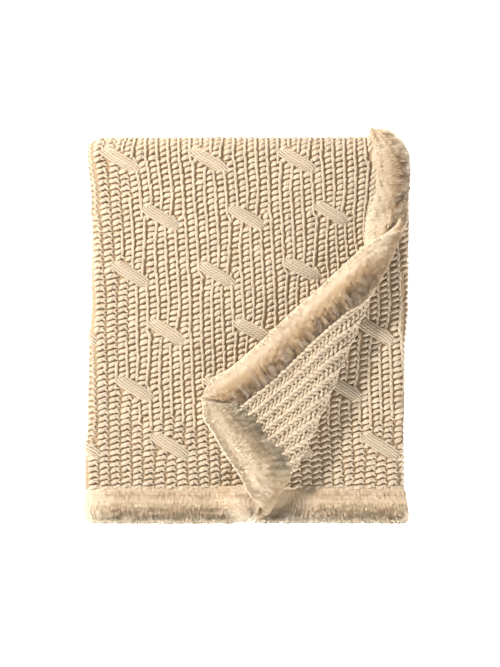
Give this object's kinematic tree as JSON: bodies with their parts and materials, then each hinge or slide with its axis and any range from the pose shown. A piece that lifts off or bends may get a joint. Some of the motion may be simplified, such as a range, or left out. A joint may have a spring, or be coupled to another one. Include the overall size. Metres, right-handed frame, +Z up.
{
  "type": "cable knit throw blanket",
  "caption": "Cable knit throw with a plush band along every edge, folded in three and then in half, with one corner of the top layer turned back.",
  "frame": {"origin": "point of the underside that lies below the middle of the folded throw, on the surface it rests on", "axes": "+Z up, +Y along the folded depth towards the half fold, +X towards the trimmed side edge"},
  "size_m": [0.5279, 0.6391, 0.1053],
  "materials": {
    "knit": "beige chunky rib and cable knit, matt",
    "plush": "cream and tan plush pile, soft sheen"
  },
  "bodies": {
    "root": {"knit_panel": "knit", "fur_band_front_hem": "plush", "fur_band_under_hem": "plush", "fur_band_inner_side": "plush", "fur_band_outer_side": "plush"}
  },
  "joints": []
}
